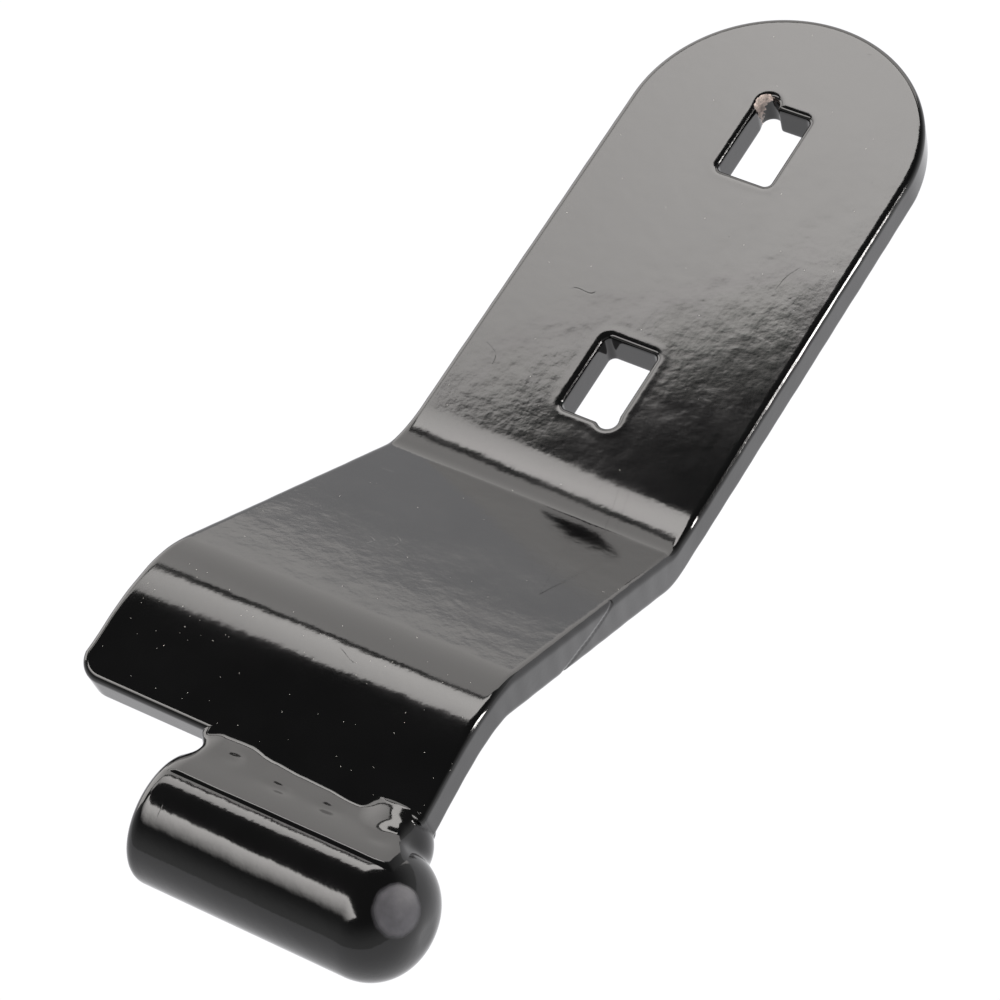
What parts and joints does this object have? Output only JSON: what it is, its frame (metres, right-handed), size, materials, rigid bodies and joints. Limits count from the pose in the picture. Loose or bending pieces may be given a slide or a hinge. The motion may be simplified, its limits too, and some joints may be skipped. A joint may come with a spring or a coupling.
{
  "type": "gate latch striker bracket",
  "caption": "Rigid joggled strap bracket for a gate latch: flat slotted pad, sloping flared neck and a welded round striker bar with a domed end.",
  "frame": {"origin": "on the back face of the pad, midway between its bolt slots", "axes": "+Z is the pad's normal, away from the face it is bolted to; +Y runs along the pad towards its round end; +X is the side the striker bar sticks out on"},
  "size_m": [0.099, 0.2898, 0.067],
  "materials": {
    "strap_paint": "thick gloss black",
    "bar_paint": "thick gloss black",
    "weld_paint": "thick gloss black over a weld bead"
  },
  "bodies": {
    "root": {"strap": "strap_paint", "striker_bar": "bar_paint", "weld_top": "weld_paint", "weld_under": "weld_paint", "weld_return": "weld_paint"}
  },
  "joints": []
}
